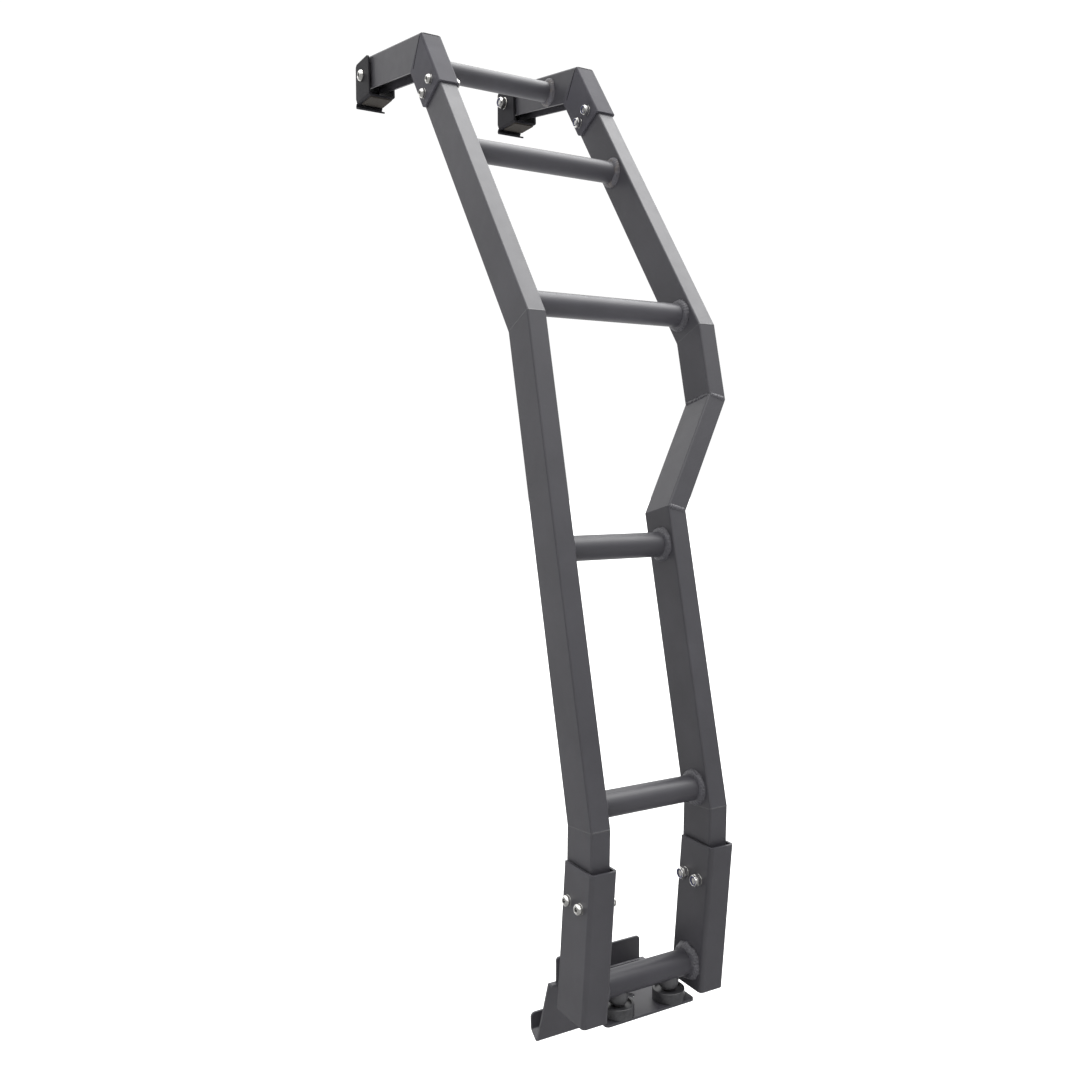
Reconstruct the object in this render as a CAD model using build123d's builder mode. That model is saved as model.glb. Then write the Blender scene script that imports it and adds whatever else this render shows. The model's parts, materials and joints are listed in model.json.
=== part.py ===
from build123d import *
import os
from math import atan2, cos, radians, sin, tan

# Rear gate ladder: two bent rails of rectangular tube, six round rungs, two channel arms that
# reach over the top of a vehicle's rear gate, and a folded hook that catches the gate's lower hem.
# Millimetres. X runs across the ladder, +Y points at the vehicle, +Z is up.
# The origin is the centre of the flat tab that rests on the gate, on its vehicle side.

# Rails
rail_width = 25.4
rail_depth = 50.8
rail_wall = 2.0
rail_corner = 2.3
upper_angle = 36.0
middle_angle = 13.8
lower_angle = -1.1
middle_length = 590.0
rail_pitch_upper = 249.0
rail_pitch_lower = 162.0
lower_bend_stand_off = 130.5
lower_bend_height = 215.0
rail_in_sleeve = 62.0

# Sideways offset of the right rail, measured below the upper bend
offset_start = 92.0
offset_end = 233.5

# Rungs, each measured along the run of its rail
rung_diameter = 30.0
rung_wall = 2.0
top_rung_along_arm = 77.8
second_rung_above_bend = 307.5
third_rung_above_bend = 36.5
fourth_rung_below_bend = 276.5
fifth_rung_above_lower_bend = 24.5
bottom_rung_stand_off = 97.0
bottom_rung_height = 22.4

# Top brackets
bracket_wall = 2.8
bracket_corner = 3.2
bracket_inner_corner = 1.0
socket_gap = 0.3
apex_above_bend = 504.5
socket_length = 99.5
socket_depth = 54.0
socket_foot_angle = 9.0
socket_rear_corner = 8.0
arm_angle = 9.5
arm_depth = 48.0
arm_line_depth = 26.8
pivot_along_arm = 214.0
arm_past_pivot = 16.0
rail_below_apex = 16.0

# Cross bolts
bolt_hole = 8.4
bolt_spacing = 25.0
socket_bolts_below_apex = 77.5
socket_bolt_angle = 7.0
sleeve_bolts_below_mouth = 43.5

# Hooks on the arm ends, measured from their pivot
hook_wall = 2.5
hook_side_gap = 2.7
hook_bend = 4.0
hook_inner_bend = 1.5
ear_front_foot = 31.5
ear_front_top = 28.0
ear_rear = 25.5
ear_top = 23.0
ear_corner = 6.0
base_drop = 35.5
curl_radius = 1.75
lip_length = 11.0
lip_flare_angle = 18.0
pivot_diameter = 10.0
pivot_gap = 0.08
pivot_hole = 10.4
pivot_head_diameter = 17.5
pivot_head_height = 5.5
pivot_head_round = 3.0
pivot_key_flats = 6.0
pivot_key_depth = 3.0
pivot_nut_flats = 17.0
pivot_nut_height = 10.0
pivot_tip = 1.5
pad_thickness = 2.0
pad_side_margin = 4.0
pad_front_margin = 3.0
pad_rear = 9.5

# Bottom sleeves
sleeve_wall = 3.0
sleeve_corner = 5.0
sleeve_side_gap = 1.2
sleeve_depth = 55.0
sleeve_angle = -5.4
sleeve_mouth_height = 171.0
sleeve_mouth_stand_off = 138.2
sleeve_foot_height = -8.0

# Folded gate plate
plate_thickness = 3.0
plate_fold = 3.5
tongue_front = 114.0
tongue_gap = 2.2
tongue_corner = 5.0
tongue_end = 6.0
plate_step = 7.0
fold_behind_tab = 3.0
wall_run = 29.0
wall_drop = 88.5
hem_run = 14.0
hem_rise = 11.0
lip_run = 1.0
lip_rise = 20.0
lip_corner = 6.0
tab_inset = 1.2
tab_height = 31.0
tab_corner = 4.0
plate_hole = 10.0
plate_hole_stand_off = 71.0

# Clamp feet between the bottom rung and the gate plate
foot_inset = 28.3
foot_diameter = 38.0
foot_height = 13.0
foot_rim = 3.0
foot_recess = 2.5
foot_edge = 1.0
screw_diameter = 8.0
screw_hole = 8.4
screw_flats = 13.0
screw_head_height = 5.5
screw_into_rung = 7.0
collar_flats = 18.0
collar_gap = 0.2

# Working values
half_width = rail_width / 2
half_depth = rail_depth / 2
left_x = -rail_pitch_lower / 2
right_x = rail_pitch_lower / 2
right_upper_x = left_x + rail_pitch_upper
bracket_width = rail_width + 2 * socket_gap + 2 * bracket_wall
sleeve_width = rail_width + 2 * sleeve_side_gap + 2 * sleeve_wall
sleeve_inner_x = (rail_pitch_lower - sleeve_width) / 2
tongue_half_width = sleeve_inner_x - tongue_gap
plate_half_width = tongue_half_width + plate_step
tab_half_width = tongue_half_width - tab_inset
foot_x = sleeve_inner_x - foot_inset
plate_top = -tab_height / 2
overrun = 2 * rail_depth
across = Vector(1, 0, 0)


def run_direction(angle):
    """Unit vector up a run that leans this many degrees towards the vehicle."""
    return Vector(0, sin(radians(angle)), cos(radians(angle)))


def depth_direction(angle):
    """Unit vector through the depth of that run, towards the vehicle."""
    return Vector(0, cos(radians(angle)), -sin(radians(angle)))


def at_x(point, x):
    """The same point, moved to this X."""
    return Vector(x, point.Y, point.Z)


def centre_bend(front, angle_a, angle_b):
    """Point where the centre lines of two runs cross behind a bend of the front face."""
    bisector = depth_direction((angle_a + angle_b) / 2)
    return front + bisector * (half_depth / cos(radians(angle_a - angle_b) / 2))


upper_run = run_direction(upper_angle)
middle_run = run_direction(middle_angle)
lower_run = run_direction(lower_angle)
sleeve_run = run_direction(sleeve_angle)
upper_in = depth_direction(upper_angle)
middle_in = depth_direction(middle_angle)
lower_in = depth_direction(lower_angle)
sleeve_in = depth_direction(sleeve_angle)

# Bends of the rails
lower_bend_front = Vector(0, -lower_bend_stand_off, lower_bend_height)
upper_bend_front = lower_bend_front + middle_run * middle_length
upper_bend = centre_bend(upper_bend_front, upper_angle, middle_angle)
lower_bend = centre_bend(lower_bend_front, middle_angle, lower_angle)
upper_mitre = (upper_run + middle_run).normalized()
lower_mitre = (middle_run + lower_run).normalized()

# The apex is the outer corner of the bracket, one wall outside the rail's front face
apex = upper_bend_front - upper_in * bracket_wall + upper_run * apex_above_bend
rail_top = apex - upper_run * rail_below_apex + upper_in * (bracket_wall + half_depth)
arm_run = Vector(0, cos(radians(arm_angle)), sin(radians(arm_angle)))
arm_down = Vector(0, sin(radians(arm_angle)), -cos(radians(arm_angle)))
seam_along_arm = (socket_depth - arm_depth * arm_down.dot(upper_in)) / arm_run.dot(upper_in)
seam_end = apex + arm_run * seam_along_arm + arm_down * arm_depth
seam_normal = (seam_end - apex).cross(across).normalized()
pivot = apex + arm_run * pivot_along_arm + arm_down * arm_line_depth

# The lower end of the rail, inside the sleeve
rail_foot_height = sleeve_mouth_height - rail_in_sleeve
rail_foot = lower_bend + lower_run * ((rail_foot_height - lower_bend.Z) / lower_run.Z)
sleeve_mouth = Vector(0, -sleeve_mouth_stand_off, sleeve_mouth_height)

# Cross bolt centres
bolt_row = depth_direction(upper_angle - socket_bolt_angle)
socket_bolt_middle = (
    apex - upper_run * socket_bolts_below_apex + upper_in * (bracket_wall + half_depth)
)
socket_bolts = [socket_bolt_middle + bolt_row * (side * bolt_spacing / 2) for side in (-1, 1)]
sleeve_bolt_height = sleeve_mouth_height - sleeve_bolts_below_mouth
sleeve_bolt_middle = (
    lower_bend + lower_run * ((sleeve_bolt_height - lower_bend.Z) / lower_run.Z)
)
sleeve_bolts = [sleeve_bolt_middle + lower_in * (side * bolt_spacing / 2) for side in (-1, 1)]

# Rung centres
upper_mid = upper_bend_front + upper_in * half_depth
middle_mid = upper_bend_front + middle_in * half_depth
top_rung_centre = apex + arm_run * top_rung_along_arm + arm_down * arm_line_depth
second_rung_centre = upper_mid + upper_run * second_rung_above_bend
third_rung_centre = upper_mid + upper_run * third_rung_above_bend
fourth_rung_centre = middle_mid - middle_run * fourth_rung_below_bend
fifth_rung_centre = (
    lower_bend_front + middle_in * half_depth + middle_run * fifth_rung_above_lower_bend
)
bottom_rung_centre = Vector(0, -bottom_rung_stand_off, bottom_rung_height)

pieces = {}


def keep(name, part):
    """Label a finished piece and remember it."""
    part.label = name
    pieces[name] = part


def run_plane(point, run, inward):
    """Plane across a run, with its Y axis pointing at the vehicle."""
    return Plane(origin=point, x_dir=inward.cross(run), z_dir=run)


def cross_holes(points, x_middle, diameter, reach):
    """Cut round holes along X through the part being built."""
    with BuildSketch(Plane.YZ.offset(x_middle - reach)) as holes:
        with Locations(*[(p.Y, p.Z) for p in points]):
            Circle(diameter / 2)
    extrude(holes.sketch, amount=2 * reach, mode=Mode.SUBTRACT)


# Rails
def rail_length(low, high, low_cut, high_cut, inward, holes=()):
    """One straight length of tube, cut square or mitred by a plane at each end."""
    run = (high - low).normalized()
    with BuildPart() as length:
        with BuildSketch(run_plane(low - run * overrun, run, inward)):
            RectangleRounded(rail_width, rail_depth, rail_corner)
            RectangleRounded(
                rail_width - 2 * rail_wall,
                rail_depth - 2 * rail_wall,
                rail_corner - rail_wall,
                mode=Mode.SUBTRACT,
            )
        extrude(amount=(high - low).length + 2 * overrun)
        split(bisect_by=Plane(origin=low, z_dir=low_cut), keep=Keep.TOP)
        split(bisect_by=Plane(origin=high, z_dir=high_cut), keep=Keep.BOTTOM)
        if holes:
            cross_holes(holes, low.X, bolt_hole, rail_width)
    return length.part


# Left rail, bent twice
left_foot = at_x(rail_foot, left_x)
left_lower_bend = at_x(lower_bend, left_x)
left_upper_bend = at_x(upper_bend, left_x)
left_head = at_x(rail_top, left_x)
keep("left_rail_upper", rail_length(
    left_upper_bend, left_head, upper_mitre, upper_run, upper_in, socket_bolts))
keep("left_rail_middle", rail_length(
    left_lower_bend, left_upper_bend, lower_mitre, upper_mitre, middle_in))
keep("left_rail_lower", rail_length(
    left_foot, left_lower_bend, lower_run, lower_mitre, lower_in, sleeve_bolts))

# Right rail, with a sideways offset in the plane of its middle run
offset_across = rail_pitch_upper - rail_pitch_lower
offset_angle = atan2(offset_across, offset_end - offset_start)
centre_shift = half_width * tan(offset_angle / 2)
offset_top = at_x(middle_mid - middle_run * (offset_start + centre_shift), right_upper_x)
offset_foot = at_x(middle_mid - middle_run * (offset_end + centre_shift), right_x)
offset_run = (offset_top - offset_foot).normalized()
offset_mitre = (offset_run + middle_run).normalized()
right_foot = at_x(rail_foot, right_x)
right_lower_bend = at_x(lower_bend, right_x)
right_upper_bend = at_x(upper_bend, right_upper_x)
right_head = at_x(rail_top, right_upper_x)
keep("right_rail_upper", rail_length(
    right_upper_bend, right_head, upper_mitre, upper_run, upper_in, socket_bolts))
keep("right_rail_shoulder", rail_length(
    offset_top, right_upper_bend, offset_mitre, upper_mitre, middle_in))
keep("right_rail_offset", rail_length(
    offset_foot, offset_top, offset_mitre, offset_mitre, middle_in))
keep("right_rail_middle", rail_length(
    right_lower_bend, offset_foot, lower_mitre, offset_mitre, middle_in))
keep("right_rail_lower", rail_length(
    right_foot, right_lower_bend, lower_run, lower_mitre, lower_in, sleeve_bolts))


# Rungs
def rung(centre, x_low, x_high):
    """A round tube along X between two flat walls."""
    with BuildPart() as tube:
        with BuildSketch(Plane.YZ.offset(x_low)):
            with Locations((centre.Y, centre.Z)):
                Circle(rung_diameter / 2)
                Circle(rung_diameter / 2 - rung_wall, mode=Mode.SUBTRACT)
        extrude(amount=x_high - x_low)
    return tube.part


arm_inner_x = bracket_width / 2
keep("top_rung", rung(top_rung_centre, left_x + arm_inner_x, right_upper_x - arm_inner_x))
keep("second_rung", rung(second_rung_centre, left_x + half_width, right_upper_x - half_width))
keep("third_rung", rung(third_rung_centre, left_x + half_width, right_upper_x - half_width))
keep("fourth_rung", rung(fourth_rung_centre, left_x + half_width, right_x - half_width))
keep("fifth_rung", rung(fifth_rung_centre, left_x + half_width, right_x - half_width))

# Bottom rung, drilled underneath for the clamp screws
foot_places = [(side * foot_x, -bottom_rung_stand_off) for side in (-1, 1)]
with BuildPart() as bottom_rung:
    with BuildSketch(Plane.YZ.offset(-sleeve_inner_x)):
        with Locations((bottom_rung_centre.Y, bottom_rung_centre.Z)):
            Circle(rung_diameter / 2)
            Circle(rung_diameter / 2 - rung_wall, mode=Mode.SUBTRACT)
    extrude(amount=2 * sleeve_inner_x)
    with BuildSketch(Plane.XY.offset(bottom_rung_height)):
        with Locations(*foot_places):
            Circle(screw_hole / 2)
    extrude(amount=-rung_diameter, mode=Mode.SUBTRACT)
keep("bottom_rung", bottom_rung.part)


# Top brackets
def channel_sketch(width, depth, wall, corner, inner_corner):
    """Channel section: closed web on the low Y side, mouth towards high Y."""
    with BuildSketch(mode=Mode.PRIVATE) as outline:
        with Locations((0, depth / 2)):
            Rectangle(width, depth)
        fillet(outline.vertices().group_by(Axis.Y)[0], corner)
    with BuildSketch(mode=Mode.PRIVATE) as inside:
        with Locations((0, wall + depth / 2)):
            Rectangle(width - 2 * wall, depth)
        fillet(inside.vertices().group_by(Axis.Y)[0], inner_corner)
    return outline.sketch - inside.sketch


def top_socket(x):
    """Channel round the head of a rail, mitred above and cut at a slant below."""
    foot = at_x(apex - upper_run * socket_length, x)
    slant_run = run_direction(upper_angle - socket_foot_angle)
    section = channel_sketch(
        bracket_width, socket_depth, bracket_wall, bracket_corner, bracket_inner_corner)
    with BuildPart() as socket:
        with BuildSketch(run_plane(foot - upper_run * socket_depth, upper_run, upper_in)):
            add(section)
        extrude(amount=socket_length + socket_depth + overrun)
        split(bisect_by=Plane(origin=at_x(apex, x), z_dir=seam_normal), keep=Keep.TOP)
        split(bisect_by=Plane(origin=foot, z_dir=slant_run), keep=Keep.TOP)
        rear_corners = socket.edges().filter_by(Axis.X).group_by(Axis.Z)[0]
        fillet(rear_corners, socket_rear_corner)
        cross_holes(socket_bolts, x, bolt_hole, bracket_width)
    return socket.part


def top_arm(x):
    """Open-bottomed channel from the mitre to the hook."""
    end = at_x(apex + arm_run * (pivot_along_arm + arm_past_pivot), x)
    section = channel_sketch(
        bracket_width, arm_depth, bracket_wall, bracket_corner, bracket_inner_corner)
    with BuildPart() as arm:
        with BuildSketch(Plane(origin=end, x_dir=-across, z_dir=-arm_run)):
            add(section)
        extrude(amount=pivot_along_arm + arm_past_pivot + overrun)
        split(bisect_by=Plane(origin=at_x(apex, x), z_dir=seam_normal), keep=Keep.BOTTOM)
        cross_holes([pivot], x, pivot_diameter + 2 * pivot_gap, bracket_width)
    return arm.part


# Hooks
hook_inner = bracket_width + 2 * hook_side_gap
hook_outer = hook_inner + 2 * hook_wall
base_under = base_drop + hook_wall
curl_mid_radius = curl_radius + hook_wall / 2
curl_start = ear_rear - curl_radius - hook_wall
curl_centre = (curl_start, -base_under - curl_radius)


def hook(x):
    """Two ears and a base folded from one sheet, whose rear end curls under into a lip."""
    base_rear = Vector(x, pivot.Y + ear_rear, pivot.Z - base_under)
    side = Plane(origin=Vector(x - hook_outer, pivot.Y, pivot.Z), x_dir=(0, 1, 0), z_dir=(1, 0, 0))
    section = channel_sketch(
        hook_outer, base_under + ear_top, hook_wall, hook_bend, hook_inner_bend)
    with BuildPart() as clamp:
        with BuildSketch(Plane(origin=base_rear, x_dir=across, z_dir=(0, -1, 0))):
            add(section)
        extrude(amount=ear_rear + ear_front_foot)
        with BuildSketch(side) as outline:
            with BuildLine():
                Polyline(
                    (-ear_front_foot, -base_under),
                    (curl_start, -base_under),
                    (curl_start, -base_drop),
                    (ear_rear, hook_bend - base_drop + ear_corner / 2),
                    (ear_rear, ear_top),
                    (-ear_front_top, ear_top),
                    close=True,
                )
            make_face()
            fillet(outline.vertices().group_by(Axis.Y)[-1], ear_corner)
        extrude(amount=2 * hook_outer, mode=Mode.INTERSECT)
        with BuildSketch(side.offset(hook_outer / 2)):
            with BuildLine():
                curl = CenterArc(curl_centre, curl_mid_radius, 90, lip_flare_angle - 180)
                PolarLine(curl @ 1, lip_length, direction=curl % 1)
            trace(line_width=hook_wall)
        extrude(amount=hook_outer)
        cross_holes([pivot], x, pivot_hole, hook_outer)
    return clamp.part


def hook_pad(x):
    """Thin pad stuck under the hook's base."""
    front = pivot.Y - ear_front_foot + pad_front_margin
    with BuildPart() as pad:
        with BuildSketch(Plane.XY.offset(pivot.Z - base_under - pad_thickness)):
            with Locations((x, front)):
                Rectangle(
                    hook_outer - 2 * pad_side_margin,
                    pivot.Y + pad_rear - front,
                    align=(Align.CENTER, Align.MIN),
                )
        extrude(amount=pad_thickness)
    return pad.part


def hook_bolt(x, outward):
    """Cross bolt with its domed head on the outside of the ladder and a nut on the inside."""
    centre = Vector(x, pivot.Y, pivot.Z)
    head = Plane(origin=centre + across * (outward * hook_outer / 2), z_dir=across * outward)
    nut = Plane(origin=centre - across * (outward * hook_outer / 2), z_dir=-across * outward)
    with BuildPart() as bolt:
        with BuildSketch(head):
            Circle(pivot_head_diameter / 2)
        extrude(amount=pivot_head_height)
        rim = bolt.edges().filter_by(GeomType.CIRCLE).sort_by(lambda e: outward * e.center().X)[-1]
        fillet(rim, pivot_head_round)
        with BuildSketch(head.offset(pivot_head_height)):
            RegularPolygon(pivot_key_flats / 2, 6, major_radius=False)
        extrude(amount=-pivot_key_depth, mode=Mode.SUBTRACT)
        with BuildSketch(head):
            Circle(pivot_diameter / 2)
        extrude(amount=-(hook_outer + pivot_nut_height + pivot_tip))
        with BuildSketch(nut):
            RegularPolygon(pivot_nut_flats / 2, 6, major_radius=False)
        extrude(amount=pivot_nut_height)
    return bolt.part


for side_name, x, outward in (("left", left_x, -1), ("right", right_upper_x, 1)):
    keep(side_name + "_top_socket", top_socket(x))
    keep(side_name + "_arm", top_arm(x))
    keep(side_name + "_hook", hook(x))
    keep(side_name + "_hook_pad", hook_pad(x))
    keep(side_name + "_hook_bolt", hook_bolt(x, outward))


# Bottom sleeves
def bottom_sleeve(x):
    """Channel round the foot of a rail, open towards the vehicle."""
    length = sleeve_mouth_height - sleeve_foot_height
    start = at_x(sleeve_mouth, x) - sleeve_run * (length + overrun)
    section = channel_sketch(
        sleeve_width, sleeve_depth, sleeve_wall, sleeve_corner, sleeve_corner - sleeve_wall)
    with BuildPart() as sleeve:
        with BuildSketch(run_plane(start, sleeve_run, sleeve_in)):
            add(section)
        extrude(amount=length + 2 * overrun)
        split(bisect_by=Plane.XY.offset(sleeve_mouth_height), keep=Keep.BOTTOM)
        split(bisect_by=Plane.XY.offset(sleeve_foot_height), keep=Keep.TOP)
        cross_holes(sleeve_bolts, x, bolt_hole, sleeve_width)
    return sleeve.part


keep("left_bottom_sleeve", bottom_sleeve(left_x))
keep("right_bottom_sleeve", bottom_sleeve(right_x))

# Gate plate, one sheet folded down, under and up into a hook
sheet_mid = plate_top - plate_thickness / 2
fold_y = fold_behind_tab
wall_foot = (fold_y + wall_run, sheet_mid - wall_drop)
hem_end = (wall_foot[0] + hem_run, wall_foot[1] + hem_rise)
lip_end = (hem_end[0] + lip_run, hem_end[1] + lip_rise)
with BuildPart() as gate_plate:
    with BuildSketch(Plane.YZ.offset(-plate_half_width)):
        with BuildLine():
            FilletPolyline(
                (-tongue_front, sheet_mid),
                (fold_y, sheet_mid),
                wall_foot,
                hem_end,
                lip_end,
                radius=plate_fold,
            )
        trace(line_width=plate_thickness)
    extrude(amount=2 * plate_half_width)
    with BuildSketch(Plane.XY.offset(plate_top)):
        with Locations((0, -tongue_end)):
            Rectangle(4 * plate_half_width, 2 * tongue_front, align=(Align.CENTER, Align.MAX))
            Rectangle(
                2 * tongue_half_width,
                3 * tongue_front,
                align=(Align.CENTER, Align.MAX),
                mode=Mode.SUBTRACT,
            )
    extrude(amount=-2 * plate_thickness, mode=Mode.SUBTRACT)
    front_corners = gate_plate.edges().filter_by(Axis.Z).group_by(Axis.Y)[0]
    fillet(front_corners, tongue_corner)
    lip_corners = gate_plate.edges().filter_by(
        lambda e: abs(e.length - plate_thickness) < 0.01 and e.center().Y > hem_end[0]
        and e.center().Z > hem_end[1] + lip_rise / 2)
    fillet(lip_corners, lip_corner)
    with BuildSketch(Plane.XY.offset(plate_top)):
        with Locations(*foot_places):
            Circle(screw_hole / 2)
        with Locations((0, -plate_hole_stand_off)):
            Circle(plate_hole / 2)
    extrude(amount=-2 * plate_thickness, mode=Mode.SUBTRACT)
keep("gate_plate", gate_plate.part)

# Upright tab that rests on the gate
with BuildPart() as gate_tab:
    with BuildSketch(Plane.XZ) as tab_face:
        Rectangle(2 * tab_half_width, tab_height)
        fillet(tab_face.vertices().group_by(Axis.Y)[-1], tab_corner)
    extrude(amount=plate_thickness)
keep("gate_tab", gate_tab.part)

# Clamp feet and their screws
rung_underside = bottom_rung_height - rung_diameter / 2
recess_floor = plate_top + foot_height - foot_recess
plate_under = plate_top - plate_thickness
for side_name, (x, y) in zip(("left", "right"), foot_places):
    with BuildPart() as foot:
        with BuildSketch(Plane.XY.offset(plate_top)):
            with Locations((x, y)):
                Circle(foot_diameter / 2)
        extrude(amount=foot_height)
        fillet(foot.edges(), foot_edge)
        with BuildSketch(Plane.XY.offset(plate_top + foot_height)):
            with Locations((x, y)):
                Circle(foot_diameter / 2 - foot_rim)
        extrude(amount=-foot_recess, mode=Mode.SUBTRACT)
        with BuildSketch(Plane.XY.offset(plate_top)):
            with Locations((x, y)):
                Circle(screw_hole / 2)
        extrude(amount=foot_height, mode=Mode.SUBTRACT)
    keep(side_name + "_clamp_foot", foot.part)

    with BuildPart() as screw:
        with BuildSketch(Plane.XY.offset(plate_under)):
            with Locations((x, y)):
                RegularPolygon(screw_flats / 2, 6, major_radius=False)
        extrude(amount=-screw_head_height)
        with BuildSketch(Plane.XY.offset(plate_under)):
            with Locations((x, y)):
                Circle(screw_diameter / 2)
        extrude(amount=rung_underside - plate_under + screw_into_rung)
        with BuildSketch(Plane.XY.offset(recess_floor)):
            with Locations((x, y)):
                RegularPolygon(collar_flats / 2, 6, major_radius=False)
        extrude(amount=rung_underside - recess_floor - collar_gap)
    keep(side_name + "_clamp_screw", screw.part)

os.makedirs("parts", exist_ok=True)
for name, part in pieces.items():
    export_step(part, "parts/" + name + ".step")
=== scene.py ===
import json
import math

import bmesh
import bpy
from bpy.props import FloatProperty, FloatVectorProperty, PointerProperty
from mathutils import Matrix, Vector, noise


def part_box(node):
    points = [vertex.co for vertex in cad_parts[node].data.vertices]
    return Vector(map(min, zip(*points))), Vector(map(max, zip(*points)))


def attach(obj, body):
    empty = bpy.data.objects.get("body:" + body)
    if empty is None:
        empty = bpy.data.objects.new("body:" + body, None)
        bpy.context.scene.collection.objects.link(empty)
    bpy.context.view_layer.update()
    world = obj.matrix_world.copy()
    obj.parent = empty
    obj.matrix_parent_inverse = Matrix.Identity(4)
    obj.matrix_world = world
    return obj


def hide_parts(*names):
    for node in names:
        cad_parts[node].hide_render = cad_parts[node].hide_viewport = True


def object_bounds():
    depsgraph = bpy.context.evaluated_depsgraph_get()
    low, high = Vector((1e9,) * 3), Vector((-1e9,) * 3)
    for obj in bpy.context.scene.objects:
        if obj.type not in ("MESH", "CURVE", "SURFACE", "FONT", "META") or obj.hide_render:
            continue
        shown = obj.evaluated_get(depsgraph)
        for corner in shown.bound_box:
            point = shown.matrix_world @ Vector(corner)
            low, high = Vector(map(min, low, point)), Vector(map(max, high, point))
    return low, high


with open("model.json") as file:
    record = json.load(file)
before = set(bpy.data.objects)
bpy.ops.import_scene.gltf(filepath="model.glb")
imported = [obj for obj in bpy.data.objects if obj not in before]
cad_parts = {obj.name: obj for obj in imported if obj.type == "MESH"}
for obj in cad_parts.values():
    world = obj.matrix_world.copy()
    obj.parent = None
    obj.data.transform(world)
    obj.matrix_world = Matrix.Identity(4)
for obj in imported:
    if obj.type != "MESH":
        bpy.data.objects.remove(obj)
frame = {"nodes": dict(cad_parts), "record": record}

bl_info = {
    "name": "Rear gate ladder",
    "version": (1, 0, 0),
    "blender": (4, 5, 0),
    "location": "View3D > Sidebar > Gate ladder",
    "description": "Powder coat, bolts, weld beads and a plain studio for the rear gate ladder",
    "category": "Object",
}

CAD_BOX = [list(corner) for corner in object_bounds()]
NODES = frame["nodes"]
LADDER = "ladder"
MM = 0.001


def middle_x(node):
    """X of the middle of a CAD node."""
    low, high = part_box(node)
    return (low.x + high.x) / 2


def half_width(node):
    """Half the width of a CAD node along X."""
    low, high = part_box(node)
    return (high.x - low.x) / 2


def run_up(degrees):
    """Unit vector up a run that leans this much towards the vehicle."""
    angle = math.radians(degrees)
    return Vector((0.0, math.sin(angle), math.cos(angle)))


def run_in(degrees):
    """Unit vector through the depth of that run, towards the vehicle."""
    angle = math.radians(degrees)
    return Vector((0.0, math.cos(angle), -math.sin(angle)))


def at_x(point, x):
    """The same point at this X."""
    return Vector((x, point.y, point.z))


def stretch(direction, length):
    """A vector this many millimetres long in a direction."""
    return direction * length * MM


# Leans of the runs, the arms and the upper row of bolts in degrees, as in the CAD frame
UPPER, MIDDLE, LOWER, ARM = 36.0, 13.8, -1.1, 9.5
TOP_ROW_TURN = 7.0

# Places along the runs, in millimetres
MIDDLE_LENGTH = 590
APEX_OUT, APEX_ABOVE_BEND = 2.8, 504.5
PIVOT_ALONG_ARM, PIVOT_UNDER_ARM_LINE = 214, 26.8
OFFSET_START, OFFSET_END = 92, 233.5
TOP_BOLTS_UNDER_APEX, TOP_BOLTS_IN = 77.5, 28.2
LOW_BOLTS_UNDER_BEND, LOW_BOLTS_IN = 87.516, 25.4

# Sizes of the tube and the arms, in metres as everything from here on
RAIL_WIDTH, RAIL_DEPTH = 25.4 * MM, 50.8 * MM
ARM_WIDTH, ARM_DEPTH, ARM_WALL = 31.6 * MM, 48 * MM, 2.8 * MM
ARM_REACH = 230 * MM
BOLT_SPACING = 25 * MM

# The lines of the rails and the arms, and the middles of their bolts
LEFT_X = middle_x("left_rail_upper")
RIGHT_X = middle_x("right_rail_upper")
FOOT_X = middle_x("right_rail_lower")
LOWER_BEND = Vector((0.0, -130.5, 215.0)) * MM
UPPER_BEND = LOWER_BEND + stretch(run_up(MIDDLE), MIDDLE_LENGTH)
APEX = UPPER_BEND - stretch(run_in(UPPER), APEX_OUT) + stretch(run_up(UPPER), APEX_ABOVE_BEND)
ARM_RUN = Vector((0.0, math.cos(math.radians(ARM)), math.sin(math.radians(ARM))))
ARM_DOWN = Vector((0.0, ARM_RUN.z, -ARM_RUN.y))
PIVOT = APEX + stretch(ARM_RUN, PIVOT_ALONG_ARM) + stretch(ARM_DOWN, PIVOT_UNDER_ARM_LINE)
TOP_BOLTS = (
    APEX - stretch(run_up(UPPER), TOP_BOLTS_UNDER_APEX)
    + stretch(run_in(UPPER), TOP_BOLTS_IN))
LOW_BOLTS = (
    LOWER_BEND - stretch(run_up(LOWER), LOW_BOLTS_UNDER_BEND)
    + stretch(run_in(LOWER), LOW_BOLTS_IN))

# Proportions of bolts and nuts, for a thread of 1
NUT_FLATS, NUT_COLLAR = 1.65, 0.93
HEX_HEAD_HEIGHT = 0.66
CHAMFER_SLOPE = 1.7

# Fineness of the meshes
MERGE_DISTANCE, CAD_MERGE_DISTANCE = 1e-6, 1e-5
BEAD_STEP = 0.65 * MM
SEAM_CUT_INSET = 0.05 * MM
MOST_THREAD_GROOVES = 8

# Looks
SCORCH_BROWN = (0.105, 0.084, 0.064, 1.0)
MIX_COLOUR_A, MIX_COLOUR_B, MIX_COLOUR_RESULT = 6, 7, 2
TOWARDS_BACKDROP = (0.496, 0.868, 0.0)
KEY_DIRECTION = (-0.43, 0.0, -0.90)
FLOOR_HALF_SIZE, FLOOR_UNDER_LADDER = 20.0, 0.15


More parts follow.
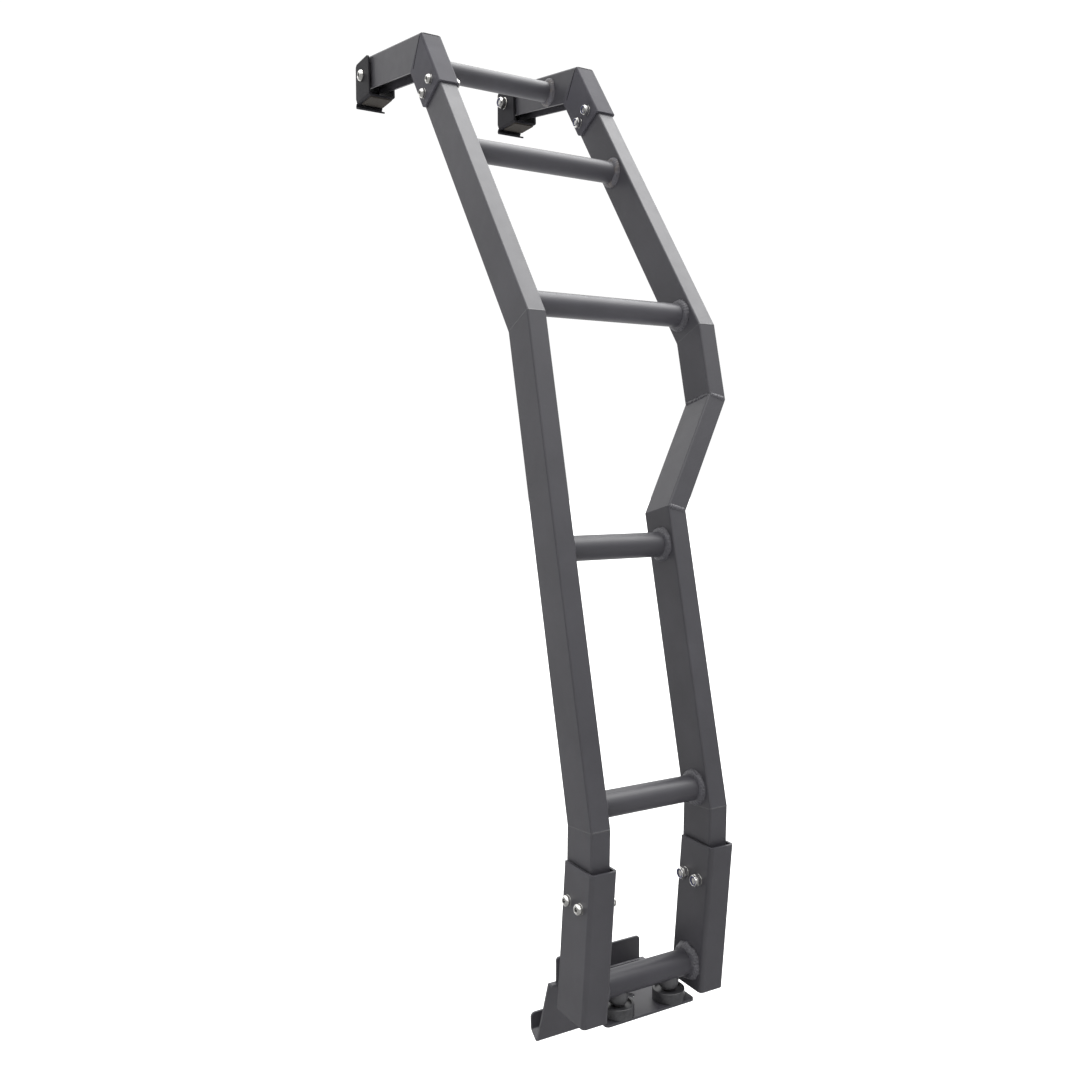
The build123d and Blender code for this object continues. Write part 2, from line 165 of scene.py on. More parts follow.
class LadderSettings(bpy.types.PropertyGroup):
    """Colours of the finishes and the floor"""
    coat_colour: FloatVectorProperty(
        name="Coat colour", description="Colour of the powder coat",
        subtype="COLOR", size=4, min=0.0, max=1.0, default=(0.039, 0.038, 0.044, 1.0))
    coat_roughness: FloatProperty(
        name="Coat roughness", description="How matt the powder coat is",
        subtype="FACTOR", min=0.0, max=1.0, default=0.42)
    zinc_colour: FloatVectorProperty(
        name="Zinc colour", description="Colour of the plated bolts, nuts and washers",
        subtype="COLOR", size=4, min=0.0, max=1.0, default=(0.90, 0.89, 0.86, 1.0))
    ring_colour: FloatVectorProperty(
        name="Lock ring colour", description="Colour of the nylon rings in the nuts",
        subtype="COLOR", size=4, min=0.0, max=1.0, default=(0.012, 0.016, 0.075, 1.0))
    steel_colour: FloatVectorProperty(
        name="Screw colour", description="Colour of the blackened clamp screws",
        subtype="COLOR", size=4, min=0.0, max=1.0, default=(0.10, 0.10, 0.105, 1.0))
    rubber_colour: FloatVectorProperty(
        name="Rubber colour", description="Colour of the clamp feet",
        subtype="COLOR", size=4, min=0.0, max=1.0, default=(0.026, 0.026, 0.028, 1.0))
    liner_colour: FloatVectorProperty(
        name="Liner colour", description="Colour of the liners under the hooks",
        subtype="COLOR", size=4, min=0.0, max=1.0, default=(0.026, 0.021, 0.017, 1.0))
    floor_colour: FloatVectorProperty(
        name="Floor colour", description="Colour of the studio floor",
        subtype="COLOR", size=4, min=0.0, max=1.0, default=(0.86, 0.86, 0.86, 1.0))


class LadderHardware(bpy.types.PropertyGroup):
    """Sizes of the bolts, the clamp screws and the welds"""
    bolt: FloatProperty(
        name="Cross bolt", description="Thread diameter of the cross bolts",
        unit="LENGTH", min=0.004, max=0.012, default=0.008)
    pivot: FloatProperty(
        name="Hook bolt", description="Thread diameter of the hook bolts",
        unit="LENGTH", min=0.006, max=0.016, default=0.010)
    rung_weld: FloatProperty(
        name="Rung weld", description="Leg of the welds round the upper rungs",
        unit="LENGTH", min=0.001, max=0.010, default=0.0056)
    bottom_weld: FloatProperty(
        name="Bottom rung weld", description="Leg of the welds round the bottom rung",
        unit="LENGTH", min=0.001, max=0.010, default=0.0068)
    seam_bead: FloatProperty(
        name="Seam bead", description="Width of the beads over the kicks of the right rail",
        unit="LENGTH", min=0.001, max=0.010, default=0.0058)
    clamp: FloatProperty(
        name="Clamp screw", description="Thread diameter of the screws through the clamp feet",
        unit="LENGTH", min=0.005, max=0.010, default=0.008)


# Materials

def new_material(name):
    """A node material with its shader and a Mapping on Object coordinates."""
    material = bpy.data.materials.new(name)
    material.use_nodes = True
    tree = material.node_tree
    shader = tree.nodes["Principled BSDF"]
    place = tree.nodes.new("ShaderNodeTexCoord")
    mapping = tree.nodes.new("ShaderNodeMapping")
    tree.links.new(place.outputs["Object"], mapping.inputs["Vector"])
    return material, tree, shader, mapping


def noise_node(tree, mapping, scale, detail=2.0, roughness=0.5):
    """A noise texture on the given mapping."""
    texture = tree.nodes.new("ShaderNodeTexNoise")
    texture.inputs["Scale"].default_value = scale
    texture.inputs["Detail"].default_value = detail
    texture.inputs["Roughness"].default_value = roughness
    tree.links.new(mapping.outputs["Vector"], texture.inputs["Vector"])
    return texture


def ramp_node(tree, source, stops):
    """A colour ramp on a source, with (place, colour) stops."""
    ramp = tree.nodes.new("ShaderNodeValToRGB")
    first, last = ramp.color_ramp.elements
    first.position, first.color = stops[0]
    last.position, last.color = stops[-1]
    for place, colour in stops[1:-1]:
        ramp.color_ramp.elements.new(place).color = colour
    tree.links.new(source, ramp.inputs["Fac"])
    return ramp


def range_node(tree, source, low, high, start=0.0, end=1.0, easing="LINEAR"):
    """A value that goes from low to high as the source goes from start to end."""
    node = tree.nodes.new("ShaderNodeMapRange")
    node.interpolation_type = easing
    node.inputs["From Min"].default_value = start
    node.inputs["From Max"].default_value = end
    node.inputs["To Min"].default_value = low
    node.inputs["To Max"].default_value = high
    tree.links.new(source, node.inputs["Value"])
    return node.outputs["Result"]


def bump_node(tree, shader, source, height, after=None):
    """Bump of this height in metres, on top of an earlier one if there is one."""
    bump = tree.nodes.new("ShaderNodeBump")
    bump.inputs["Distance"].default_value = height
    tree.links.new(source, bump.inputs["Height"])
    if after:
        tree.links.new(after.outputs["Normal"], bump.inputs["Normal"])
    tree.links.new(bump.outputs["Normal"], shader.inputs["Normal"])
    return bump


def shade(colour, factor):
    """The same colour, lighter or darker."""
    return (colour[0] * factor, colour[1] * factor, colour[2] * factor, 1.0)


def mottle(tree, shader, mapping, colour, grain, shades):
    """Colour the surface by noise, in (place, factor) shades; gives the noise."""
    speckle = noise_node(tree, mapping, *grain).outputs["Fac"]
    ramp = ramp_node(tree, speckle, [(place, shade(colour, factor)) for place, factor in shades])
    tree.links.new(ramp.outputs["Color"], shader.inputs["Base Color"])
    return speckle


def powder_coat(settings, name, tone=1.0, gloss=0.5, scorched=0.0, pitted=0.0):
    """Satin grey powder coat with a fine orange peel; over a weld it may be brown and pitted."""
    material, tree, shader, mapping = new_material(name)
    colour = shade(settings.coat_colour, tone)
    cloud = noise_node(tree, mapping, 14.0, 3.0, 0.55)
    ramp = ramp_node(tree, cloud.outputs["Fac"], [
        (0.30, shade(colour, 0.90)), (0.70, shade(colour, 1.10))])
    tint = ramp.outputs["Color"]
    if scorched:
        patch = noise_node(tree, mapping, 95.0, 3.0, 0.6)
        brown = ramp_node(tree, patch.outputs["Fac"], [
            (0.46, (0.0, 0.0, 0.0, 1.0)), (0.66, (scorched, scorched, scorched, 1.0))])
        mix = tree.nodes.new("ShaderNodeMix")
        mix.data_type = "RGBA"
        tree.links.new(brown.outputs["Color"], mix.inputs["Factor"])
        tree.links.new(tint, mix.inputs[MIX_COLOUR_A])
        mix.inputs[MIX_COLOUR_B].default_value = SCORCH_BROWN
        tint = mix.outputs[MIX_COLOUR_RESULT]
    tree.links.new(tint, shader.inputs["Base Color"])
    uneven = noise_node(tree, mapping, 60.0, 2.0, 0.5)
    rough = range_node(
        tree, uneven.outputs["Fac"], settings.coat_roughness - 0.05,
        settings.coat_roughness + 0.05)
    tree.links.new(rough, shader.inputs["Roughness"])
    shader.inputs["Specular IOR Level"].default_value = gloss
    peel = noise_node(tree, mapping, 900.0, 2.0, 0.45)
    grain = noise_node(tree, mapping, 3200.0, 1.0, 0.4)
    first = bump_node(tree, shader, peel.outputs["Fac"], 0.00006)
    last = bump_node(tree, shader, grain.outputs["Fac"], 0.000012, after=first)
    if pitted:
        pits = noise_node(tree, mapping, 380.0, 3.0, 0.6)
        bump_node(tree, shader, pits.outputs["Fac"], pitted, after=last)
    return material


def plated_zinc(settings):
    """Bright zinc plate with faint turning marks and small dull spots."""
    material, tree, shader, mapping = new_material("bright_zinc")
    shader.inputs["Metallic"].default_value = 1.0
    spots = mottle(
        tree, shader, mapping, settings.zinc_colour, (420.0, 3.0, 0.6),
        [(0.32, 0.82), (0.60, 1.05)])
    tree.links.new(range_node(tree, spots, 0.10, 0.26), shader.inputs["Roughness"])
    marks = noise_node(tree, mapping, 2600.0, 1.0, 0.5)
    bump_node(tree, shader, marks.outputs["Fac"], 0.00002)
    return material


def socket_painted_shade(settings):
    """Painted shade: a dark speckled material that stands in for the shade deep in the key
    sockets of the bolts.
    """
    material, tree, shader, mapping = new_material("socket_painted_shade")
    shade_speckle = mottle(
        tree, shader, mapping, settings.steel_colour, (900.0, 2.0, 0.5),
        [(0.35, 0.12), (0.75, 0.6)])
    shader.inputs["Roughness"].default_value = 0.42
    bump_node(tree, shader, shade_speckle, 0.00003)
    return material


def blackened_steel(settings):
    """Oiled black steel with small bright spots, partly rubbed wear and partly painted glints."""
    material, tree, shader, mapping = new_material("blackened_steel")
    shader.inputs["Metallic"].default_value = 0.9
    # The brightest shade (3.5) paints glints as well as rubbed wear
    wear_and_glint_spots = mottle(
        tree, shader, mapping, settings.steel_colour, (520.0, 3.0, 0.6),
        [(0.35, 0.7), (0.62, 1.2), (0.70, 3.5)])
    shader.inputs["Roughness"].default_value = 0.32
    bump_node(tree, shader, wear_and_glint_spots, 0.00003)
    return material


def nylon_ring(settings):
    """Dark blue nylon of the lock rings."""
    material, tree, shader, mapping = new_material("blue_nylon")
    haze = mottle(
        tree, shader, mapping, settings.ring_colour, (800.0, 2.0, 0.5), [(0.3, 0.8), (0.7, 1.3)])
    shader.inputs["Roughness"].default_value = 0.38
    bump_node(tree, shader, haze, 0.00003)
    return material


def moulded_rubber(settings):
    """Black rubber with a faint bloom and a moulded grain."""
    material, tree, shader, mapping = new_material("black_rubber")
    mottle(
        tree, shader, mapping, settings.rubber_colour, (120.0, 4.0, 0.6),
        [(0.3, 0.85), (0.75, 1.6)])
    shader.inputs["Roughness"].default_value = 0.33
    shader.inputs["Specular IOR Level"].default_value = 0.55
    rings = tree.nodes.new("ShaderNodeTexWave")
    rings.wave_type = "BANDS"
    rings.bands_direction = "Z"
    rings.inputs["Scale"].default_value = 130.0
    rings.inputs["Distortion"].default_value = 0.6
    tree.links.new(mapping.outputs["Vector"], rings.inputs["Vector"])
    grain = noise_node(tree, mapping, 1500.0, 2.0, 0.5)
    first = bump_node(tree, shader, rings.outputs["Fac"], 0.00012)
    bump_node(tree, shader, grain.outputs["Fac"], 0.00003, after=first)
    return material


def hook_liner(settings):
    """Thin brown-grey liner with a fibrous face."""
    material, tree, shader, mapping = new_material("hook_liner")
    mapping.inputs["Scale"].default_value = (1.0, 0.35, 1.0)
    fibre = mottle(
        tree, shader, mapping, settings.liner_colour, (900.0, 4.0, 0.65),
        [(0.3, 0.6), (0.7, 1.5)])
    shader.inputs["Roughness"].default_value = 0.82
    bump_node(tree, shader, fibre, 0.00015)
    return material


def material_named(name):
    """A material that the finishes operator made."""
    material = bpy.data.materials.get(name)
    if material is None:
        raise RuntimeError(f"make the finishes first: there is no {name}")
    return material


def bolt_finishes():
    """The zinc of the bolts, the nylon of their rings and the painted shade in their sockets."""
    return [material_named(name) for name in ("bright_zinc", "blue_nylon", "socket_painted_shade")]


# Meshes

def turned(profile, steps, shape=None):
    """A closed form turned about X from (x, radius) pairs; shape gives a point its own radius."""
    form = bmesh.new()
    points = [form.verts.new((x, 0.0, r)) for x, r in profile]
    edges = [form.edges.new(pair) for pair in zip(points, points[1:])]
    bmesh.ops.spin(
        form, geom=points + edges, cent=(0, 0, 0), axis=(1, 0, 0), dvec=(0, 0, 0),
        angle=math.tau, steps=steps, use_merge=True, use_duplicate=False)
    if shape:
        for vert in form.verts:
            radius = math.hypot(vert.co.y, vert.co.z)
            if radius > 1e-6:
                angle = math.atan2(vert.co.y, vert.co.z)
                wanted = shape(vert.co.x, radius, angle)
                vert.co.y *= wanted / radius
                vert.co.z *= wanted / radius
    bmesh.ops.remove_doubles(form, verts=form.verts, dist=MERGE_DISTANCE)
    bmesh.ops.recalc_face_normals(form, faces=form.faces)
    return form


def hexagon(flats, angle):
    """Radius of a hexagon across these flats, in this direction."""
    turn = (angle + math.pi / 6) % (math.pi / 3) - math.pi / 6
    return flats / 2 / math.cos(turn)


def place_form(form, point, outward, turn=0.0):
    """Point the form's X axis along +X or -X, turn it about that axis and move it to a point."""
    if outward < 0:
        bmesh.ops.scale(form, vec=(-1, -1, 1), verts=form.verts)
    cos, sin = math.cos(turn), math.sin(turn)
    for vert in form.verts:
        y, z = vert.co.y, vert.co.z
        vert.co.y, vert.co.z = y * cos - z * sin, y * sin + z * cos
    bmesh.ops.translate(form, vec=point, verts=form.verts)


def gather(forms):
    """One bmesh from several, which are freed."""
    whole = bmesh.new()
    for form in forms:
        part = bpy.data.meshes.new("part")
        form.to_mesh(part)
        form.free()
        whole.from_mesh(part)
        bpy.data.meshes.remove(part)
    return whole


def add_piece(form, name, material, body=LADDER, angle=34.0, recess=None):
    """Make the object of a finished bmesh, smooth it up to an angle and let it ride on a body."""
    mesh = bpy.data.meshes.new(name)
    form.to_mesh(mesh)
    form.free()
    mesh.materials.append(material)
    # A second material, painted shade for recesses, goes on faces of index 1
    if recess:
        mesh.materials.append(recess)
    mesh.shade_smooth()
    mesh.set_sharp_from_angle(angle=math.radians(angle))
    piece = bpy.data.objects.new(name, mesh)
    bpy.context.scene.collection.objects.link(piece)
    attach(piece, body)
    return piece


def button_head(size, radius, height):
    """Domed bolt head with a hexagon socket, for a thread of this size; the socket's faces take
    the second material, the painted socket shade.
    """
    flats, depth = size * 0.62, height * 0.70
    key = flats / 2
    rim = key * 1.30
    profile = [(0.0, 0.0), (0.0, radius - 0.05 * size), (0.05 * size, radius)]
    for step in range(1, 9):
        angle = step / 8 * math.pi / 2
        profile.append((
            0.05 * size + (height - 0.05 * size) * math.sin(angle),
            rim + (radius - rim) * math.cos(angle)))
    profile += [
        (height - 0.02 * size, key * 1.18), (height - 0.05 * size, key),
        (height - depth, key), (height - depth - 0.06 * size, key * 0.55),
        (height - depth - 0.12 * size, 0.0)]
    socket_top = height - 0.04 * size

    def shape(x, r, angle):
        if r <= key * 1.001 and height - depth - 1e-5 <= x <= socket_top:
            return hexagon(flats, angle)
        return r

    form = turned(profile, 72, shape)
    # Socket faces get material 1, the painted shade of the socket
    for face in form.faces:
        middle = face.calc_center_median()
        if math.hypot(middle.y, middle.z) < key * 1.12 and height * 0.1 < middle.x < socket_top:
            face.material_index = 1
    return form


def hexagon_head(size):
    """Hexagon bolt head with a washer face and chamfered corners."""
    flats, height = size * 1.625, size * HEX_HEAD_HEIGHT
    corner = flats / 2 / math.cos(math.pi / 6)
    profile = [(0.0, 0.0), (0.0, flats / 2 * 0.93), (0.04 * flats, flats / 2 * 0.93)]
    profile += [(height * part, corner) for part in (0.09, 0.5, 0.74, 0.82, 0.89, 0.95)]
    profile += [(height, flats / 2 * 0.92), (height, 0.0)]

    def shape(x, r, angle):
        if r < flats / 2 * 0.94:
            return r
        return min(hexagon(flats, angle), flats / 2 * 0.92 + (height - x) * CHAMFER_SLOPE)

    return turned(profile, 96, shape)


def washer(size, outside, thick):
    """Flat washer with softened edges, standing on x = 0."""
    hole, soft = size * 0.53, thick * 0.18
    profile = [
        (0.0, hole), (0.0, outside - soft), (soft, outside), (thick - soft, outside),
        (thick, outside - soft), (thick, hole), (0.0, hole)]
    return turned(profile, 64)


def spring_washer(size, outside, thick):
    """Split washer, a little sprung open at its cut."""
    hole, rise, steps = size * 0.53, thick * 0.12, 48
    form = bmesh.new()
    corners = [(0.0, hole), (0.0, outside), (thick - rise, outside), (thick - rise, hole)]
    points = [form.verts.new((x, 0.0, r)) for x, r in corners]
    edges = [form.edges.new(pair) for pair in zip(points, points[1:] + points[:1])]
    bmesh.ops.spin(
        form, geom=points + edges, cent=(0, 0, 0), axis=(1, 0, 0), dvec=(rise / steps, 0, 0),
        angle=math.tau - 0.17, steps=steps, use_merge=False, use_duplicate=False)
    bmesh.ops.holes_fill(form, edges=[edge for edge in form.edges if edge.is_boundary], sides=0)
    bmesh.ops.recalc_face_normals(form, faces=form.faces)
    return form


def lock_nut(size):
    """Hexagon nut with chamfered corners and the turned-in collar that holds a nylon ring."""
    flats, height = size * NUT_FLATS, size
    hex_top = height * 0.70
    collar = flats / 2 * NUT_COLLAR
    corner = flats / 2 / math.cos(math.pi / 6)
    levels = [0.0, 0.015, 0.03, 0.05, 0.08, 0.12]
    profile = [(0.0, size * 0.5), (0.0, flats / 2 * 0.97)]
    profile += [(part * flats, corner) for part in levels[1:]]
    profile += [(hex_top - part * flats, corner) for part in reversed(levels)]
    profile += [
        (hex_top + 0.01 * size, collar * 1.01), (hex_top + 0.04 * size, collar),
        (height * 0.90, collar), (height * 0.965, collar * 0.985), (height, collar * 0.95),
        (height * 0.995, collar * 0.90), (height * 0.965, collar * 0.87),
        (height * 0.90, collar * 0.87), (height * 0.90, size * 0.5), (0.0, size * 0.5)]

    def shape(x, r, angle):
        if r < collar * 1.02 or x > hex_top + 1e-6:
            return r
        chamfer = flats / 2 * 0.97 + min(x, hex_top - x) * CHAMFER_SLOPE
        return min(hexagon(flats, angle), chamfer)

    return turned(profile, 96, shape)


def lock_ring(size):
    """Nylon ring in the collar of a lock nut."""
    height = size
    outside = size * NUT_FLATS / 2 * NUT_COLLAR * 0.875
    inside = size * 0.485
    profile = [
        (height * 0.88, inside), (height * 0.88, outside), (height * 0.955, outside),
        (height * 0.972, outside * 0.93), (height * 0.965, inside * 1.04),
        (height * 0.94, inside), (height * 0.88, inside)]
    return turned(profile, 64)


def threaded_end(size, start, end):
    """Shank along X with a chamfered tip and the last grooves of its thread."""
    radius, pitch = size * 0.49, size * 0.156
    profile = [(start, 0.0), (start, radius)]
    grooves = min(max(int((end - start) / pitch) - 1, 1), MOST_THREAD_GROOVES)
    first = end - pitch * (grooves + 0.6)
    if first > start:
        profile.append((first, radius))
    for step in range(grooves):
        x = first + step * pitch
        profile += [(x + pitch * 0.5, radius * 0.90), (x + pitch, radius)]
    profile += [(end - pitch * 0.3, radius), (end, radius * 0.86), (end, 0.0)]
    return turned(profile, 48)


def bolt_set(size, points, x, half_grip, outward, sprung):
    """Heads outside, nuts inside: bmeshes of the steel and of the nylon rings for some bolts."""
    steel, rings = [], []
    spring = size * 0.21
    if sprung:
        head_radius, head_height = size * 0.79, size * 0.50
        plate_radius, plate = size * 0.85, size * 0.13
        under = plate + spring
    else:
        head_radius, head_height = size * 0.875, size * 0.55
        plate_radius, plate = size * 0.92, size * 0.15
        under = 0.0
    nut_seat = half_grip + plate
    for number, point in enumerate(points):
        # Every bolt stands at a turn of its own
        turn = 0.35 + 1.1 * number + 0.5 * outward

        def stand(form, reach, side, angle=0.0):
            place_form(form, at_x(point, x + side * outward * reach), side * outward, angle)
            return form

        steel.append(stand(
            button_head(size, head_radius, head_height), half_grip + under, 1, turn))
        if sprung:
            steel.append(stand(washer(size, size * 0.80, plate), half_grip, 1))
            steel.append(stand(
                spring_washer(size, size * 0.77, spring), nut_seat, 1, turn * 3.0))
        steel.append(stand(washer(size, plate_radius, plate), half_grip, -1))
        steel.append(stand(lock_nut(size), nut_seat, -1, turn * 0.6))
        shank = threaded_end(
            size, -(half_grip + under) - size * 0.2, nut_seat + size * 0.87)
        steel.append(stand(shank, 0.0, -1))
        rings.append(stand(lock_ring(size), nut_seat, -1))
    return gather(steel), gather(rings)


def upright(form, point, downward=False):
    """Stand a turned form on a point, pointing up, or down from it."""
    quarter = Matrix.Rotation(math.radians(90.0 if downward else -90.0), 3, "Y")
    bmesh.ops.rotate(form, cent=(0, 0, 0), matrix=quarter, verts=form.verts)
    bmesh.ops.translate(form, vec=point, verts=form.verts)
    return form


def ripple(length, seed, pitch=4.2 * MM):
    """Height from 0 to 1 of a weld's ripples at this length in metres along it."""
    wander = noise.noise(Vector((length * 110.0, seed, 0.0))) * 1.1
    phase = (length / pitch + wander) % 1.0
    return 1.0 - abs(2.0 * phase - 1.0) ** 2.2


def weld_ring(centre, wall_x, outward, tube_radius, leg, seed):
    """Fillet weld round a tube where it meets a wall that faces +X or -X."""
    sunk = 0.4 * MM
    profile = [(-sunk, tube_radius - sunk), (-sunk, tube_radius + leg)]
    for step in range(9):
        part = step / 8
        bulge = 0.20 * leg * math.sin(math.pi * part)
        profile.append((
            leg * part + bulge * 0.7, tube_radius + leg * (1 - part) + bulge * 0.7))
    profile += [(leg, tube_radius - sunk), (-sunk, tube_radius - sunk)]

    def shape(x, r, angle):
        if r < tube_radius + 0.02 * leg:
            return r
        along = angle % math.tau * (tube_radius + leg / 2)
        spot = Vector((math.cos(angle), math.sin(angle), x / leg))
        swell = noise.noise(spot * 2.1 + Vector((0.0, 0.0, seed)))
        pits = noise.noise(spot * 9.0 + Vector((seed, 0.0, 0.0)))
        rise = leg * (0.10 * ripple(along, seed) + 0.20 * swell + 0.08 * pits)
        return r + rise * min(1.0, (r - tube_radius) / (0.3 * leg))

    form = turned(profile, 264, shape)
    place_form(form, at_x(centre, wall_x), outward)
    return form


def seam_loop(node, point, normal, inset):
    """Outer edge loop, as points, where a plane cuts a CAD node."""
    form = bmesh.new()
    form.from_mesh(NODES[node].data)
    bmesh.ops.remove_doubles(form, verts=form.verts, dist=CAD_MERGE_DISTANCE)
    cut = bmesh.ops.bisect_plane(
        form, geom=form.verts[:] + form.edges[:] + form.faces[:],
        plane_co=point - normal * inset, plane_no=normal)
    edges = {item for item in cut["geom_cut"] if isinstance(item, bmesh.types.BMEdge)}
    loops = []
    while edges:
        edge = edges.pop()
        loop = [edge.verts[0], edge.verts[1]]
        while True:
            nexts = [e for e in loop[-1].link_edges if e in edges]
            if not nexts:
                break
            edges.discard(nexts[0])
            loop.append(nexts[0].other_vert(loop[-1]))
        loops.append([vert.co.copy() for vert in loop])
    form.free()
    if not loops:
        raise RuntimeError(f"no seam on {node}")
    return max(loops, key=lambda loop: sum((a - b).length for a, b in zip(loop, loop[1:])))


def resampled(points, pitch, closed):
    """Points at an even pitch along a line."""
    line = points + [points[0]] if closed and (points[0] - points[-1]).length > 1e-6 else points
    total = sum((b - a).length for a, b in zip(line, line[1:]))
    count = max(int(total / pitch), 4)
    wanted = [total * i / count for i in range(count if closed else count + 1)]
    result, done, index = [], 0.0, 0
    for length in wanted:
        while index < len(line) - 2 and done + (line[index + 1] - line[index]).length < length:
            done += (line[index + 1] - line[index]).length
            index += 1
        step = line[index + 1] - line[index]
        result.append(line[index] + step * ((length - done) / max(step.length, 1e-9)))
    return result, total


def weld_bead(points, radius, seed, closed=False, ends=0.0, lumps=0.08, pitch=3.2 * MM):
    """A rippled bead as a mesh round a line of points."""
    line, total = resampled(points, BEAD_STEP, closed)
    data = bpy.data.curves.new("bead", "CURVE")
    data.dimensions = "3D"
    data.bevel_depth = radius
    data.bevel_resolution = 3
    data.use_fill_caps = not closed
    spline = data.splines.new("POLY")
    spline.points.add(len(line) - 1)
    spline.use_cyclic_u = closed
    for number, (point, place) in enumerate(zip(spline.points, line)):
        along = total * number / len(line)
        point.co = (*place, 1.0)
        size = 1.0 - lumps * 0.6 + lumps * ripple(along, seed, pitch)
        size += lumps * 0.7 * noise.noise(Vector((along * 90.0, seed, 3.0)))
        if ends and not closed:
            near = min(along, total - along) / ends
            size *= math.sqrt(max(0.15, min(1.0, near)))
        point.radius = size
    holder = bpy.data.objects.new("bead", data)
    bpy.context.scene.collection.objects.link(holder)
    evaluated = holder.evaluated_get(bpy.context.evaluated_depsgraph_get())
    mesh = bpy.data.meshes.new_from_object(evaluated)
    form = bmesh.new()
    form.from_mesh(mesh)
    bmesh.ops.remove_doubles(form, verts=form.verts, dist=MERGE_DISTANCE)
    bmesh.ops.recalc_face_normals(form, faces=form.faces)
    bpy.data.objects.remove(holder)
    bpy.data.curves.remove(data)
    bpy.data.meshes.remove(mesh)
    return form


def sunk_loop(node, point, normal, depth):
    """The edge loop of a cut through a node, evenly spaced and sunk below the surface."""
    loop, _ = resampled(seam_loop(node, point, normal, SEAM_CUT_INSET), BEAD_STEP, True)
    middle = sum(loop, Vector()) / len(loop)
    result = []
    for number, place in enumerate(loop):
        along = loop[(number + 1) % len(loop)] - loop[number - 1]
        inward = along.cross(normal).normalized()
        if inward.dot(middle - place) < 0:
            inward.negate()
        result.append((place + inward * depth, -inward))
    return result


def facing_run(loop, wanted):
    """The longest stretch of a loop, as points, whose outward directions are wanted."""
    count = len(loop)
    start = next(i for i in range(count) if not wanted(loop[i][1]))
    best, current = [], []
    for step in range(1, count + 1):
        place, outward = loop[(start + step) % count]
        if wanted(outward):
            current.append(place)
        else:
            best, current = max(best, current, key=len), []
    return max(best, current, key=len)


def offset_beads(width):
    """Broad beads over both kicks of the right rail, and a low one down its left face."""
    node = "right_rail_offset"
    middle = UPPER_BEND + run_in(MIDDLE) * RAIL_DEPTH / 2
    offset_angle = math.atan2(RIGHT_X - FOOT_X, (OFFSET_END - OFFSET_START) * MM)
    shift = RAIL_WIDTH / 2 * math.tan(offset_angle / 2)
    top = at_x(middle - run_up(MIDDLE) * (OFFSET_START * MM + shift), RIGHT_X)
    foot = at_x(middle - run_up(MIDDLE) * (OFFSET_END * MM + shift), FOOT_X)
    mitre = ((top - foot).normalized() + run_up(MIDDLE)).normalized()
    outer = -run_in(MIDDLE)
    flat, proud = width * 0.60, width * 0.28
    beads = []
    for number, (point, normal) in enumerate(((top, mitre), (foot, -mitre))):
        run = facing_run(
            sunk_loop(node, point, normal, flat - proud), lambda out: out.dot(outer) > 0.97)
        beads.append(weld_bead(
            run, flat, 2.0 + number, ends=1.5 * MM, lumps=0.16, pitch=6.0 * MM))
    run = facing_run(sunk_loop(node, top, mitre, width * 0.12), lambda out: out.x < -0.90)
    beads.append(weld_bead(
        run, width * 0.42, 4.0, ends=3.0 * MM, lumps=0.42, pitch=7.5 * MM))
    return beads


def bend_beads(width):
    """Low beads all round the rails at their bends."""
    beads = []
    for number, (node, point, lean) in enumerate((
        ("left_rail_upper", UPPER_BEND, UPPER),
        ("left_rail_lower", LOWER_BEND, LOWER),
        ("right_rail_upper", UPPER_BEND, UPPER),
        ("right_rail_lower", LOWER_BEND, LOWER),
    )):
        normal = (run_up(lean) + run_up(MIDDLE)).normalized()
        inner = -normal if node.endswith("upper") else normal
        loop = [place for place, _ in sunk_loop(node, point, inner, width * 0.25)]
        beads.append(weld_bead(loop, width * 0.28, 5.0 + number, closed=True, lumps=0.06))
    return beads


def bracket_beads():
    """Beads across the top of each bracket's mitre and down both of its faces."""
    seam = (ARM_RUN - run_up(UPPER)).normalized()
    half = ARM_WIDTH / 2
    across = Vector((half - 3.0 * MM, 0.0, 0.0))
    beads = []
    for number, x in enumerate((LEFT_X, RIGHT_X)):
        over = at_x(APEX + stretch(seam, 1.2), x)
        beads.append(weld_bead(
            [over - across, over + across], 1.5 * MM, 11.0 + number, ends=2.0 * MM))
        for side in (-1, 1):
            face_x = x + side * (half - 1.1 * MM)
            line = [at_x(APEX + stretch(seam, reach), face_x) for reach in (3.0, 50.0)]
            beads.append(weld_bead(line, 1.55 * MM, 13.0 + number + side, ends=3.0 * MM))
    return beads


def tab_bead():
    """Bead along the lower edge of the gate tab."""
    low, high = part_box("gate_tab")
    y, z = low.y - 0.3 * MM, low.z + 0.3 * MM
    line = [Vector((low.x + 0.5 * MM, y, z)), Vector((high.x - 0.5 * MM, y, z))]
    return weld_bead(line, 2.2 * MM, 9.0, ends=3.0 * MM)


# Operators

